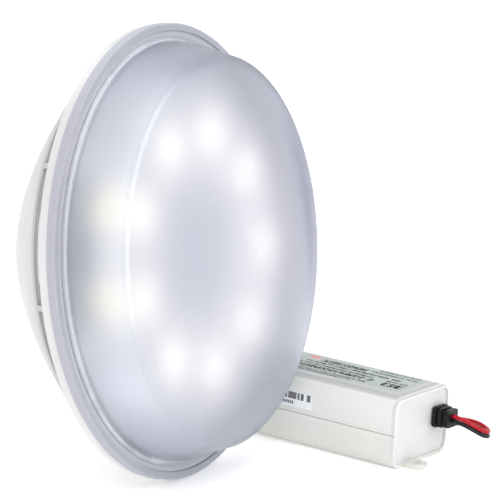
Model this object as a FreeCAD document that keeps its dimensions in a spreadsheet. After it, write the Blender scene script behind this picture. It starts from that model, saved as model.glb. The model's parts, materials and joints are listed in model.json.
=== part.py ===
import FreeCAD, Part
import Sketcher
import math
import os
from FreeCAD import Placement, Rotation, Vector

# Underwater pool light with its separate power supply.
#
# Row frame: millimetres, +Z up, the lamp faces -Y. The origin is the middle of the lamp's
# cylindrical rim, the part that a niche ring holds. The lamp leans back by lamp_lean.
# Lamp pieces are drawn about a local +Z that runs out through the front lens, then placed.
# Power supply pieces are drawn in their own box: x across, y along, z up from the base.

doc = FreeCAD.newDocument("PoolLight")
sheet = doc.addObject("Spreadsheet::Sheet", "dims")

DIMENSIONS = [
    # lamp: pose and rim
    ("lamp_lean", 8.4),
    ("rim_radius", 89.0),
    ("rim_back", -1.9),
    ("rim_front", 1.85),
    ("lens_rim_radius", 89.6),
    ("lens_rim_front", 5.3),
    # lens
    ("lens_wall", 2.4),
    ("lens_foot_radius", 82.8),
    ("crease_radius", 76.3),
    ("crease_height", 27.1),
    ("crease_round", 3.2),
    ("crease_setback", 1.8),
    ("dome_height", 36.6),
    ("rim_groove_inner", 84.4),
    ("rim_groove_outer", 86.6),
    ("rim_groove_depth", 0.8),
    ("rim_round", 0.8),
    # rear shell
    ("shell_wall", 2.5),
    ("skirt_radius", 81.0),
    ("skirt_end_radius", 76.6),
    ("skirt_end", -13.5),
    ("bowl_end_radius", 37.0),
    ("bowl_end", -47.4),
    ("bowl_sphere", 230.0),
    ("heel_radius", 20.0),
    ("heel_flat_radius", 25.0),
    ("shell_back", -51.5),
    ("slot_count", 9.0),
    ("slot_width", 2.7),
    ("slot_middle", -10.6),
    ("slot_arc", 38.3),
    ("slot_start", 148.0),
    ("gasket_radius", 85.2),
    ("gasket_width", 1.6),
    ("gasket_depth", 1.2),
    ("recess_radius", 83.5),
    ("recess_floor", -0.15),
    ("shell_mouth_radius", 78.4),
    ("housing_gasket_gap", 0.6),
    # dry housing
    ("housing_radius", 70.0),
    ("housing_wall", 2.0),
    ("housing_waist", -12.0),
    ("housing_floor_radius", 34.0),
    ("housing_floor", -40.0),
    ("housing_flange", 1.5),
    ("boss_radius", 22.0),
    ("leg_rise", 9.0),
    ("leg_hole_radius", 1.25),
    ("leg_hole_depth", 8.0),
    # light engine
    ("board_radius", 60.0),
    ("board_back", 13.0),
    ("board_thick", 1.6),
    ("led_count", 9.0),
    ("led_ring", 46.8),
    ("led_start", -5.7),
    ("led_side", 5.0),
    ("led_thick", 0.8),
    ("led_optic_radius", 2.2),
    ("pad_thick", 0.5),
    ("pad_setback", 1.0),
    ("sink_plate", 3.5),
    ("sink_radius", 58.0),
    ("fin_depth", 16.0),
    ("fin_thick", 1.6),
    ("post_ring", 44.0),
    ("post_radius", 4.0),
    ("post_room", 0.6),
    ("wire_hole_radius", 4.0),
    ("sink_hole_radius", 5.0),
    ("screw_room_radius", 1.6),
    ("board_screw_radius", 1.2),
    ("board_screw_length", 11.0),
    ("board_screw_head_radius", 2.7),
    ("board_screw_head_height", 1.8),
    ("reflector_foot_inner", 77.4),
    ("reflector_foot_outer", 79.8),
    ("reflector_top_inner", 60.4),
    ("reflector_top_outer", 62.2),
    # regulator inside the lamp
    ("resin_depth", 6.0),
    ("circuit_thick", 1.6),
    ("regulator_radius", 25.0),
    ("bridge_length", 12.0),
    ("bridge_width", 9.0),
    ("bridge_height", 5.0),
    ("bridge_round", 0.8),
    ("can_radius", 5.0),
    ("can_height", 11.0),
    ("coil_radius", 5.5),
    ("coil_height", 6.0),
    ("coil_bore_radius", 2.0),
    # terminals
    ("terminal_offset", 10.0),
    ("terminal_radius", 3.0),
    ("terminal_face", -56.0),
    ("block_face", -55.5),
    ("block_length", 36.0),
    ("block_width", 20.0),
    ("block_wall", 2.2),
    ("block_wall_rise", 5.5),
    ("block_rim_rise", 2.5),
    ("block_round", 0.8),
    ("post_rise", 8.6),
    ("screw_radius", 1.95),
    ("thread_clearance", 0.05),
    ("screw_length", 8.0),
    ("fork_thick", 0.8),
    ("fork_width", 6.4),
    ("fork_length", 10.0),
    ("fork_root", -6.5),
    ("fork_slot", 4.3),
    ("barrel_length", 6.5),
    ("washer_thick", 0.8),
    ("washer_radius", 4.0),
    ("head_radius", 3.6),
    ("head_height", 2.4),
    ("head_round", 0.9),
    ("driver_slot_width", 1.0),
    ("driver_slot_depth", 1.1),
    # power supply
    ("supply_width", 42.0),
    ("supply_length", 72.0),
    ("supply_height", 29.5),
    ("supply_round", 5.2),
    ("supply_wall", 2.0),
    ("seam_height", 14.2),
    ("seam_gap", 0.25),
    ("lip_width", 1.3),
    ("lip_step", 0.6),
    ("ear_offset", 13.0),
    ("ear_radius", 4.4),
    ("ear_reach", 3.9),
    ("ear_thick", 1.6),
    ("ear_hole", 1.6),
    ("gland_across", 33.5),
    ("gland_height", 17.0),
    ("gland_reach", 7.2),
    ("gland_depth", 3.5),
    ("outlet_width", 7.0),
    ("outlet_height", 6.4),
    ("rib_thick", 1.7),
    ("rib_round", 1.4),
    ("clip_width", 9.2),
    ("clip_height", 8.4),
    ("clip_thick", 1.5),
    ("inlet_across", 11.5),
    ("inlet_hole", 3.1),
    ("inlet_width", 10.0),
    ("inlet_height", 9.0),
    ("inlet_reach", 2.9),
    ("plate_width", 12.0),
    ("plate_height", 11.0),
    ("plate_thick", 1.5),
    ("plate_round", 1.6),
    ("supply_board_top", 7.6),
    ("supply_board_side_gap", 3.0),
    ("supply_board_end_gap", 5.0),
    ("label_thick", 0.15),
    ("label_side_gap", 6.0),
    ("label_end_gap", 3.5),
    ("sticker_start", 41.0),
    ("sticker_low", 16.6),
    ("sticker_length", 26.0),
    ("sticker_height", 6.6),
    # leads
    ("lead_diameter", 1.8),
]

for row, (alias, number) in enumerate(DIMENSIONS, start=1):
    sheet.set("A%d" % row, alias)
    sheet.set("B%d" % row, str(number))
    sheet.setAlias("B%d" % row, alias)
doc.recompute()


class Size:
    """A length that carries its spreadsheet expression together with its value."""

    def __init__(self, text, number):
        self.text = text
        self.number = float(number)

    def combine(self, other, sign, number_of):
        if not isinstance(other, Size):
            other = Size("%g" % other, other)
        return Size("(%s %s %s)" % (self.text, sign, other.text), number_of(self.number, other.number))

    def __add__(self, other):
        return self.combine(other, "+", lambda a, b: a + b)

    def __sub__(self, other):
        return self.combine(other, "-", lambda a, b: a - b)

    def __mul__(self, other):
        return self.combine(other, "*", lambda a, b: a * b)

    def __truediv__(self, other):
        return self.combine(other, "/", lambda a, b: a / b)


class Dimensions:
    """Every spreadsheet cell as an attribute, such as D.rim_radius."""


D = Dimensions()
for alias, _ in DIMENSIONS:
    setattr(D, alias, Size("dims." + alias, sheet.get(alias)))

ZERO = Size("0", 0.0)
OVERCUT = 1.0      # how far a cutting tool runs past the piece it cuts
OVERLAP = 0.5      # how far pieces that are fused run into each other
THROUGH = 20.0     # length of a tool that goes through several layers
SUBPARTS = []


def as_size(value):
    return value if isinstance(value, Size) else Size("%g" % value, value)


def lamp_placement():
    """Local +Z becomes the lamp's axis, which faces -Y and leans back."""
    return Placement(Vector(0, 0, 0), Rotation(Vector(1, 0, 0), 90 - D.lamp_lean.number))


def floor_height():
    """The surface that the rim's lowest edge stands on."""
    lean = math.radians(D.lamp_lean.number)
    return -D.rim_radius.number * math.cos(lean) + D.rim_back.number * math.sin(lean)


SUPPLY_CORNER_X = 56.3
SUPPLY_CORNER_Y = -78.0
SUPPLY_TURN = -7.1


def supply_placement():
    """The power supply lies beside the lamp on the same surface, turned a little."""
    corner = Vector(SUPPLY_CORNER_X, SUPPLY_CORNER_Y, floor_height())
    return Placement(corner, Rotation(Vector(0, 0, 1), SUPPLY_TURN))


LAMP = lamp_placement()
SUPPLY = supply_placement()


def keep(obj, name, placement):
    """Register a finished sub-part under its node name."""
    if obj.TypeId in ("Part::Box", "Part::Cylinder"):
        obj = group(name + "_placed", [obj])
    obj.Label = name
    obj.Placement = placement.multiply(obj.Placement)
    SUBPARTS.append(obj)
    return obj


# ---------------------------------------------------------------- Part helpers

def bind(obj, **sizes):
    for prop, value in sizes.items():
        size = as_size(value)
        setattr(obj, prop, size.number)
        if "dims." in size.text:
            obj.setExpression(prop, size.text)
    return obj


def at(obj, x, y, z, rotation=None):
    """Place a primitive, with each coordinate bound to the sheet where it is a Size."""
    x, y, z = as_size(x), as_size(y), as_size(z)
    obj.Placement = Placement(Vector(x.number, y.number, z.number), rotation or Rotation())
    for axis, size in (("x", x), ("y", y), ("z", z)):
        if "dims." in size.text:
            obj.setExpression("Placement.Base." + axis, size.text)
    return obj


def box(name, x, y, z, length, width, height):
    obj = doc.addObject("Part::Box", name)
    bind(obj, Length=length, Width=width, Height=height)
    return at(obj, x, y, z)


def cylinder(name, x, y, z, radius, height, rotation=None):
    obj = doc.addObject("Part::Cylinder", name)
    bind(obj, Radius=radius, Height=height)
    return at(obj, x, y, z, rotation)


def cut(name, base, tools):
    obj = doc.addObject("Part::Cut", name)
    obj.Base = base
    obj.Tool = tools[0] if len(tools) == 1 else fuse(name + "_tools", tools)
    return obj


def fuse(name, shapes):
    obj = doc.addObject("Part::MultiFuse", name)
    obj.Shapes = shapes
    return obj


def group(name, shapes):
    """Separate solids under one node, such as a set of equal screws."""
    obj = doc.addObject("Part::Compound", name)
    obj.Links = shapes
    return obj


def rounded(name, base, radius, chosen):
    """Fillet the edges that chosen(edge) picks."""
    doc.recompute()
    obj = doc.addObject("Part::Fillet", name)
    obj.Base = base
    picked = [i for i, edge in enumerate(base.Shape.Edges, start=1) if chosen(edge)]
    number = as_size(radius).number
    obj.Edges = [(i, number, number) for i in picked]
    return obj


def runs_along(direction):
    """Choose straight edges that run along one axis."""
    def chosen(edge):
        if edge.Degenerated or not isinstance(edge.Curve, Part.Line):
            return False
        return abs(edge.Curve.Direction.dot(direction)) > 0.999
    return chosen


ALONG_Y = Rotation(Vector(1, 0, 0), -90)


# ---------------------------------------------------------------- PartDesign helpers

def origin_plane(body, role):
    return next(f for f in body.Origin.OriginFeatures if f.Role == role)


def outline_sketch(body, name, outline, turn=None):
    """A closed sketch on the body's XZ plane.

    Each entry is (radius, height) or (radius, height, arc_radius, side), where an arc runs
    from that point to the next one. Side +1 puts the arc's centre to the left of the way to
    the next point and -1 to the right. Every vertex and arc is bound to the spreadsheet.
    """
    sketch = body.newObject("Sketcher::SketchObject", name)
    sketch.AttachmentSupport = [(origin_plane(body, "XZ_Plane"), "")]
    sketch.MapMode = "FlatFace"
    if turn is not None:
        sketch.AttachmentOffset = Placement(Vector(0, 0, 0), Rotation(Vector(0, 1, 0), turn))
    corners = [(as_size(entry[0]), as_size(entry[1])) for entry in outline]
    count = len(outline)
    for i, entry in enumerate(outline):
        start = Vector(corners[i][0].number, corners[i][1].number, 0)
        end = Vector(corners[(i + 1) % count][0].number, corners[(i + 1) % count][1].number, 0)
        if len(entry) == 2:
            sketch.addGeometry(Part.LineSegment(start, end), False)
        else:
            sketch.addGeometry(sketch_arc(start, end, as_size(entry[2]).number, entry[3]), False)
    starts = [start_vertex(sketch, i, corners[i]) for i in range(count)]
    for i in range(count):
        end_vertex = 2 if starts[i] == 1 else 1
        following = (i + 1) % count
        sketch.addConstraint(Sketcher.Constraint("Coincident", i, end_vertex, following, starts[following]))
    for i, entry in enumerate(outline):
        pin_vertex(sketch, i, starts[i], corners[i])
        if len(entry) == 4:
            arc_radius = as_size(entry[2])
            index = sketch.addConstraint(Sketcher.Constraint("Radius", i, arc_radius.number))
            if "dims." in arc_radius.text:
                sketch.setExpression("Constraints[%d]" % index, arc_radius.text)
    return sketch


def sketch_arc(start, end, radius, side):
    chord = end - start
    middle = (start + end) * 0.5
    left = Vector(-chord.y, chord.x, 0).normalize()
    half = chord.Length / 2
    sagitta = radius - math.sqrt(radius * radius - half * half)
    return Part.Arc(start, middle - left * (side * sagitta), end)


def start_vertex(sketch, index, corner):
    """Sketcher may store an arc end to end, so find which of its vertices is the start."""
    first = sketch.getPoint(index, 1)
    same = abs(first.x - corner[0].number) < 1e-6 and abs(first.y - corner[1].number) < 1e-6
    return 1 if same else 2


def pin_vertex(sketch, geometry, vertex, corner):
    for kind, size in (("DistanceX", corner[0]), ("DistanceY", corner[1])):
        index = sketch.addConstraint(Sketcher.Constraint(kind, -1, 1, geometry, vertex, size.number))
        if "dims." in size.text:
            sketch.setExpression("Constraints[%d]" % index, size.text)


def revolved_body(name, outline):
    """A PartDesign body turned from one closed outline about the local Z axis."""
    body = doc.addObject("PartDesign::Body", name)
    sketch = outline_sketch(body, name + "_outline", outline)
    turned = body.newObject("PartDesign::Revolution", name + "_turned")
    turned.Profile = sketch
    turned.ReferenceAxis = (sketch, ["V_Axis"])
    turned.Angle = 360.0
    doc.recompute()
    return body


def circle_edges(feature, radius, height):
    """Names of a feature's full circular edges of one radius at one height."""
    names = []
    for i, edge in enumerate(feature.Shape.Edges, start=1):
        if edge.Degenerated or not isinstance(edge.Curve, Part.Circle):
            continue
        same_radius = abs(edge.Curve.Radius - as_size(radius).number) < 0.05
        same_height = abs(edge.Curve.Center.z - as_size(height).number) < 0.05
        if same_radius and same_height:
            names.append("Edge%d" % i)
    return names


def body_fillet(body, name, radius, edges):
    base = body.Tip
    fillet = body.newObject("PartDesign::Fillet", name)
    fillet.Base = (base, edges)
    bind(fillet, Radius=radius)
    body.Tip = fillet
    doc.recompute()
    return fillet


# ---------------------------------------------------------------- lamp: outer pieces

SIDE_WALL_SLOPE = (0.29, 0.96)     # outward and down from the crease
DOME_EDGE_SLOPE = (0.97, 0.25)     # inward and up from the crease


def front_lens():
    """Frosted lens: rim with a front groove, leaning side wall, crease and shallow dome."""
    wall = D.lens_wall
    wall_end = (D.crease_radius + D.crease_setback * SIDE_WALL_SLOPE[0],
                D.crease_height - D.crease_setback * SIDE_WALL_SLOPE[1])
    dome_start = (D.crease_radius - D.crease_setback * DOME_EDGE_SLOPE[0],
                  D.crease_height + D.crease_setback * DOME_EDGE_SLOPE[1])
    rise = D.dome_height - dome_start[1]
    sphere = (dome_start[0] * dome_start[0] + rise * rise) / (rise * 2)
    inner_radius = D.crease_radius - wall
    inner_rise = inner_radius * inner_radius / ((sphere - wall) * 2)
    inner_sphere = (inner_radius * inner_radius + inner_rise * inner_rise) / (inner_rise * 2)
    body = revolved_body("front_lens_body", [
        (D.lens_foot_radius - wall, D.rim_front),
        (D.lens_rim_radius, D.rim_front),
        (D.lens_rim_radius, D.lens_rim_front),
        (D.rim_groove_outer, D.lens_rim_front),
        (D.rim_groove_outer, D.lens_rim_front - D.rim_groove_depth),
        (D.rim_groove_inner, D.lens_rim_front - D.rim_groove_depth),
        (D.rim_groove_inner, D.lens_rim_front),
        (D.lens_foot_radius, D.lens_rim_front),
        wall_end + (D.crease_round, 1),
        dome_start + (sphere, 1),
        (ZERO, D.dome_height),
        (ZERO, D.dome_height - wall, inner_sphere, -1),
        (inner_radius, D.dome_height - wall - inner_rise),
    ])
    front = circle_edges(body.Tip, D.lens_rim_radius, D.lens_rim_front)
    body_fillet(body, "lens_rim_edge", D.rim_round, front)
    keep(body, "front_lens", LAMP)


HEEL_INWARD = (0.7, 0.8)           # the way from the bowl's outer to its inner face at the heel
LEAST_SLOT_VOLUME = 50.0


def rear_shell():
    """White bowl behind the rim, open to the water through a ring of long slots."""
    wall = D.shell_wall
    body = revolved_body("rear_shell_body", [
        (D.rim_radius, D.rim_back),
        (D.rim_radius, D.rim_front),
        (D.gasket_radius + D.gasket_width / 2, D.rim_front),
        (D.gasket_radius + D.gasket_width / 2, D.rim_front - D.gasket_depth),
        (D.gasket_radius - D.gasket_width / 2, D.rim_front - D.gasket_depth),
        (D.gasket_radius - D.gasket_width / 2, D.rim_front),
        (D.recess_radius, D.rim_front),
        (D.recess_radius, D.recess_floor),
        (D.shell_mouth_radius, D.recess_floor),
        (D.shell_mouth_radius, D.rim_back),
        (D.skirt_end_radius - wall, D.skirt_end, D.bowl_sphere - wall, -1),
        (D.bowl_end_radius - wall * HEEL_INWARD[0], D.bowl_end + wall * HEEL_INWARD[1],
         D.heel_radius - wall, -1),
        (D.heel_flat_radius, D.shell_back + wall),
        (ZERO, D.shell_back + wall),
        (ZERO, D.shell_back),
        (D.heel_flat_radius, D.shell_back, D.heel_radius, 1),
        (D.bowl_end_radius, D.bowl_end, D.bowl_sphere, 1),
        (D.skirt_end_radius, D.skirt_end),
        (D.skirt_radius, D.rim_back),
    ])
    before = body.Shape.Volume
    half = D.slot_width / 2
    sketch = outline_sketch(body, "slot_outline", [
        (D.housing_radius, D.slot_middle - half),
        (D.rim_radius, D.slot_middle - half),
        (D.rim_radius, D.slot_middle + half),
        (D.housing_radius, D.slot_middle + half),
    ], turn=D.slot_start.number)
    slot = body.newObject("PartDesign::Groove", "slot")
    slot.Profile = sketch
    slot.ReferenceAxis = (sketch, ["V_Axis"])
    slot.Angle = D.slot_arc.number
    slot.setExpression("Angle", D.slot_arc.text)
    doc.recompute()
    ring = body.newObject("PartDesign::PolarPattern", "slot_ring")
    ring.Originals = [slot]
    ring.Axis = (origin_axis(body), [""])
    ring.Angle = 360.0
    ring.Occurrences = int(D.slot_count.number)
    body.Tip = ring
    doc.recompute()
    one_slot = before - slot.Shape.Volume
    all_slots = before - ring.Shape.Volume
    if one_slot < LEAST_SLOT_VOLUME or all_slots < (D.slot_count.number - 0.5) * one_slot:
        raise RuntimeError("the rear shell's slots didn't cut")
    holes = terminal_bores("shell_post_hole", D.shell_back - OVERCUT, D.shell_wall + 2 * OVERCUT)
    keep(cut("rear_shell_drilled", body, holes), "rear_shell", LAMP)


def terminal_bores(name, low, height):
    """A pair of bores for the two terminal posts."""
    return [cylinder("%s_%d" % (name, side), D.terminal_offset * side, 0, low, D.terminal_radius, height)
            for side in (1, -1)]


def origin_axis(body):
    return next(f for f in body.Origin.OriginFeatures if f.Role == "Z_Axis")


def ring_part(name, inner, outer, low, height):
    """A plain flat ring about the lamp's axis."""
    disc = cylinder(name + "_disc", 0, 0, low, outer, height)
    hole = cylinder(name + "_hole", 0, 0, low - OVERCUT, inner, height + 2 * OVERCUT)
    keep(cut(name + "_ring", disc, [hole]), name, LAMP)


def seals():
    half = D.gasket_width / 2
    ring_part("lens_gasket", D.gasket_radius - half, D.gasket_radius + half,
              D.rim_front - D.gasket_depth, D.gasket_depth)
    flange_bottom = D.rim_front - D.housing_flange
    ring_part("housing_gasket", D.shell_mouth_radius + D.housing_gasket_gap, D.recess_radius,
              D.recess_floor, flange_bottom - D.recess_floor)


HOUSING_CORNER = 0.4               # share of the wall that the inner corner sits above the outer one


def dry_housing():
    """Sealed cup inside the shell that keeps the light engine dry."""
    wall = D.housing_wall
    flange_bottom = D.rim_front - D.housing_flange
    body = revolved_body("dry_housing_body", [
        (D.recess_radius, flange_bottom),
        (D.recess_radius, D.rim_front),
        (D.housing_radius - wall, D.rim_front),
        (D.housing_radius - wall, D.housing_waist + wall * HOUSING_CORNER),
        (D.housing_floor_radius - wall, D.housing_floor + wall),
        (ZERO, D.housing_floor + wall),
        (ZERO, D.shell_back + D.shell_wall),
        (D.boss_radius, D.shell_back + D.shell_wall),
        (D.boss_radius, D.housing_floor),
        (D.housing_floor_radius, D.housing_floor),
        (D.housing_radius, D.housing_waist),
        (D.housing_radius, flange_bottom),
    ])
    top = D.board_back - D.pad_thick - D.sink_plate
    foot = D.housing_floor + D.leg_rise
    legs = leg_cylinders("housing_leg", foot, D.post_radius, top - foot)
    whole = fuse("housing_with_legs", [body] + legs)
    holes = terminal_bores("boss_hole", D.shell_back, THROUGH)
    holes += leg_cylinders("leg_hole", top - D.leg_hole_depth, D.leg_hole_radius, D.leg_hole_depth + OVERCUT)
    keep(cut("dry_housing_drilled", whole, holes), "dry_housing", LAMP)


LEG_COUNT = 3
FIRST_LEG = 54.3                   # degrees, clear of the emitters


def leg_places():
    """Where the legs stand that carry the heat sink and the board."""
    angles = [math.radians(FIRST_LEG + 360.0 * i / LEG_COUNT) for i in range(LEG_COUNT)]
    return [(D.post_ring * math.cos(angle), D.post_ring * math.sin(angle)) for angle in angles]


def leg_cylinders(name, low, radius, height):
    return [cylinder("%s_%d" % (name, i), x, y, low, radius, height) for i, (x, y) in enumerate(leg_places())]


# ---------------------------------------------------------------- lamp: light engine

def led_angles():
    count = int(D.led_count.number)
    return [D.led_start.number + 360.0 * i / count for i in range(count)]


def light_board():
    """Round aluminium board on the heat sink, held by three screws."""
    front = D.board_back + D.board_thick
    disc = cylinder("led_board_disc", 0, 0, D.board_back, D.board_radius, D.board_thick)
    tool_low = D.board_back - OVERCUT
    tool_height = D.board_thick + 2 * OVERCUT
    holes = [cylinder("led_board_wire_hole", 0, 0, tool_low, D.wire_hole_radius, tool_height)]
    holes += leg_cylinders("led_board_bore", tool_low, D.screw_room_radius, tool_height)
    keep(cut("led_board_drilled", disc, holes), "led_board", LAMP)

    shanks = leg_cylinders("board_screw_shank", front - D.board_screw_length, D.board_screw_radius,
                           D.board_screw_length)
    heads = leg_cylinders("board_screw_head", front, D.board_screw_head_radius, D.board_screw_head_height)
    screws = [fuse("board_screw_%d" % i, list(pair)) for i, pair in enumerate(zip(shanks, heads))]
    keep(group("board_screw_set", screws), "board_screws", LAMP)


def emitters():
    """Nine square emitters in a ring on the board, each under a small round optic."""
    front = D.board_back + D.board_thick
    half = D.led_side.number / 2
    packages = []
    optics = []
    for i, angle in enumerate(led_angles()):
        turn = Rotation(Vector(0, 0, 1), angle)
        corner = turn.multVec(Vector(D.led_ring.number - half, -half, 0))
        package = doc.addObject("Part::Box", "led_package_%d" % i)
        bind(package, Length=D.led_side, Width=D.led_side, Height=D.led_thick)
        packages.append(at(package, corner.x, corner.y, front, turn))
        middle = turn.multVec(Vector(D.led_ring.number, 0, 0))
        optics.append(dome("led_optic_%d" % i, middle.x, middle.y, front + D.led_thick,
                           D.led_optic_radius))
    keep(group("led_package_ring", packages), "led_packages", LAMP)
    keep(group("led_optic_ring", optics), "led_optics", LAMP)


def dome(name, x, y, z, radius):
    """A half ball standing on the height z."""
    ball = doc.addObject("Part::Sphere", name)
    bind(ball, Radius=radius)
    ball.Angle1 = 0
    ball.Angle2 = 90
    return at(ball, x, y, z)


def thermal_pad():
    low = D.board_back - D.pad_thick
    disc = cylinder("pad_disc", 0, 0, low, D.sink_radius - D.pad_setback, D.pad_thick)
    tool_height = D.pad_thick + 2 * OVERCUT
    holes = [cylinder("pad_wire_hole", 0, 0, low - OVERCUT, D.wire_hole_radius, tool_height)]
    holes += leg_cylinders("pad_bore", low - OVERCUT, D.screw_room_radius, tool_height)
    keep(cut("pad_drilled", disc, holes), "thermal_pad", LAMP)


FIN_COUNT = 9
FIN_PITCH = 8.0
FIN_CIRCLE = 50.0                  # the fins end on this circle, less the setback
FIN_SETBACK = 6.0


def heat_sink():
    """Plate behind the board with straight fins that hang down into the dry housing."""
    low = D.board_back - D.pad_thick - D.sink_plate
    plate = cylinder("sink_plate_disc", 0, 0, low, D.sink_radius, D.sink_plate)
    fins = []
    for i in range(FIN_COUNT):
        y = FIN_PITCH * (i - (FIN_COUNT - 1) / 2)
        half = math.sqrt(FIN_CIRCLE ** 2 - y ** 2) - FIN_SETBACK
        fins.append(box("sink_fin_%d" % i, -half, ZERO - D.fin_thick / 2 + y, low - D.fin_depth,
                        2 * half, D.fin_thick, D.fin_depth + OVERLAP))
    whole = fuse("sink_whole", [plate] + fins)
    under = low - D.fin_depth - OVERCUT
    holes = [cylinder("sink_wire_hole", 0, 0, under, D.sink_hole_radius,
                      D.fin_depth + D.sink_plate + 2 * OVERCUT)]
    holes += leg_cylinders("sink_bore", low - OVERCUT, D.screw_room_radius, D.sink_plate + 2 * OVERCUT)
    holes += leg_cylinders("sink_leg_room", under, D.post_radius + D.post_room, D.fin_depth + OVERCUT)
    keep(cut("sink_drilled", whole, holes), "heat_sink", LAMP)


def reflector_ring():
    """White cone that hides the gap between the board and the lens wall."""
    top = D.board_back + D.board_thick
    body = revolved_body("reflector_ring_body", [
        (D.reflector_foot_inner, D.rim_front),
        (D.reflector_foot_outer, D.rim_front),
        (D.reflector_top_outer, top),
        (D.reflector_top_inner, top),
    ])
    keep(body, "reflector_ring", LAMP)


BRIDGE_CORNER = (-6.0, 9.0)
CAN_MIDDLE = (-9.0, -13.0)
COIL_MIDDLE = (9.0, -13.0)


def regulator():
    """Small rectifier and regulator board on its potting, at the bottom of the housing."""
    floor = D.housing_floor + D.housing_wall
    resin = cylinder("potting_disc", 0, 0, floor, D.housing_floor_radius - D.housing_wall, D.resin_depth)
    resin_holes = terminal_bores("potting_hole", floor - OVERCUT, D.resin_depth + 2 * OVERCUT)
    keep(cut("potting_drilled", resin, resin_holes), "potting_resin", LAMP)

    low = floor + D.resin_depth
    disc = cylinder("regulator_disc", 0, 0, low, D.regulator_radius, D.circuit_thick)
    holes = terminal_bores("regulator_hole", low - OVERCUT, D.circuit_thick + 2 * OVERCUT)
    keep(cut("regulator_drilled", disc, holes), "regulator_board", LAMP)

    top = low + D.circuit_thick
    bridge = box("bridge_case", *BRIDGE_CORNER, top, D.bridge_length, D.bridge_width, D.bridge_height)
    soft = rounded("bridge_rounded", bridge, D.bridge_round, runs_along(Vector(0, 0, 1)))
    keep(soft, "rectifier_bridge", LAMP)
    can = cylinder("capacitor_can", *CAN_MIDDLE, top, D.can_radius, D.can_height)
    keep(can, "smoothing_capacitor", LAMP)
    coil = cylinder("inductor_core", *COIL_MIDDLE, top, D.coil_radius, D.coil_height)
    bore = cylinder("inductor_bore", *COIL_MIDDLE, top - OVERCUT, D.coil_bore_radius,
                    D.coil_height + 2 * OVERCUT)
    keep(cut("inductor_cut", coil, [bore]), "filter_inductor", LAMP)


# ---------------------------------------------------------------- lamp: terminals

def terminal_block():
    """Moulded block on the back of the shell, with a wall between the two terminals."""
    half = D.block_length / 2
    wall = D.block_wall
    near_side = ZERO - D.block_width / 2
    base = box("block_base", ZERO - half, near_side, D.block_face, D.block_length, D.block_width,
               D.shell_back - D.block_face)
    end = half - wall / 2
    places = ((ZERO - end, D.block_rim_rise), (ZERO, D.block_wall_rise), (end, D.block_rim_rise))
    walls = [box("block_wall_%d" % i, x - wall / 2, near_side, D.block_face - rise, wall, D.block_width,
                 rise + OVERLAP) for i, (x, rise) in enumerate(places)]
    whole = fuse("block_whole", [base] + walls)
    soft = rounded("block_soft", whole, D.block_round, runs_along(Vector(0, 0, 1)))
    holes = terminal_bores("block_hole", D.block_face - THROUGH / 2, THROUGH)
    keep(cut("block_drilled", soft, holes), "terminal_block", LAMP)


def terminal_posts():
    """Brass posts that carry the current through the housing, tapped at the back end."""
    top = D.housing_floor + D.housing_wall + D.post_rise
    posts = []
    for side in (1, -1):
        x = D.terminal_offset * side
        rod = cylinder("post_rod_%d" % side, x, 0, D.terminal_face, D.terminal_radius,
                       top - D.terminal_face)
        tap = cylinder("post_tap_%d" % side, x, 0, D.terminal_face - OVERCUT,
                       D.screw_radius + D.thread_clearance, D.screw_length + 2 * OVERCUT)
        posts.append(cut("post_%d" % side, rod, [tap]))
    keep(group("post_pair", posts), "terminal_posts", LAMP)


def terminal_screw(side, name):
    """Slotted pan-head screw in its post."""
    x = D.terminal_offset * side
    head_front = D.terminal_face - D.fork_thick - D.washer_thick
    head_back = head_front - D.head_height
    shank = cylinder(name + "_shank", x, 0, head_front, D.screw_radius, D.screw_length)
    head = cylinder(name + "_head", x, 0, head_back, D.head_radius, D.head_height)
    soft = rounded(name + "_head_round", head, D.head_round,
                   lambda edge: abs(edge.CenterOfMass.z - head_back.number) < 0.01)
    whole = fuse(name + "_whole", [shank, soft])
    reach = D.head_radius + OVERCUT
    groove = box(name + "_groove", x - D.driver_slot_width / 2, ZERO - reach, head_back - OVERCUT,
                 D.driver_slot_width, reach * 2, D.driver_slot_depth + OVERCUT)
    keep(cut(name + "_slotted", whole, [groove]), name + "_screw", LAMP)


def terminal_washer(side, name):
    """Loose washer under the screw's head, which clamps the fork."""
    x = D.terminal_offset * side
    low = D.terminal_face - D.fork_thick - D.washer_thick
    disc = cylinder(name + "_washer_disc", x, 0, low, D.washer_radius, D.washer_thick)
    hole = cylinder(name + "_washer_hole", x, 0, low - OVERCUT, D.screw_radius + D.thread_clearance,
                    D.washer_thick + 2 * OVERCUT)
    keep(cut(name + "_washer_cut", disc, [hole]), name + "_washer", LAMP)


FORK_EXIT = -12.0                  # where the lead leaves the barrel
BARREL_RADIUS = 1.6
BARREL_CLEARANCE = 0.1


def fork_height():
    """Height of the barrel's axis, just clear of the terminal block's face."""
    return D.block_face - BARREL_RADIUS - BARREL_CLEARANCE


def fork_terminal(side, name):
    """Crimped fork: a flat tongue open at one end, and the barrel that grips the lead."""
    x = D.terminal_offset * side
    top = D.terminal_face - D.fork_thick
    tongue = box(name + "_tongue", x - D.fork_width / 2, D.fork_root, top, D.fork_width, D.fork_length,
                 D.fork_thick)
    slot = box(name + "_slot", x - D.fork_slot / 2, ZERO - D.fork_slot / 2, top - OVERCUT, D.fork_slot,
               D.fork_length, D.fork_thick + 2 * OVERCUT)
    barrel = cylinder(name + "_barrel", x, FORK_EXIT, fork_height(), BARREL_RADIUS, D.barrel_length, ALONG_Y)
    flat = cut(name + "_flat", tongue, [slot])
    keep(fuse(name + "_whole", [flat, barrel]), name, LAMP)


# ---------------------------------------------------------------- power supply

MARGIN = 5.0                       # how far a trimming block reaches past the case


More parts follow.
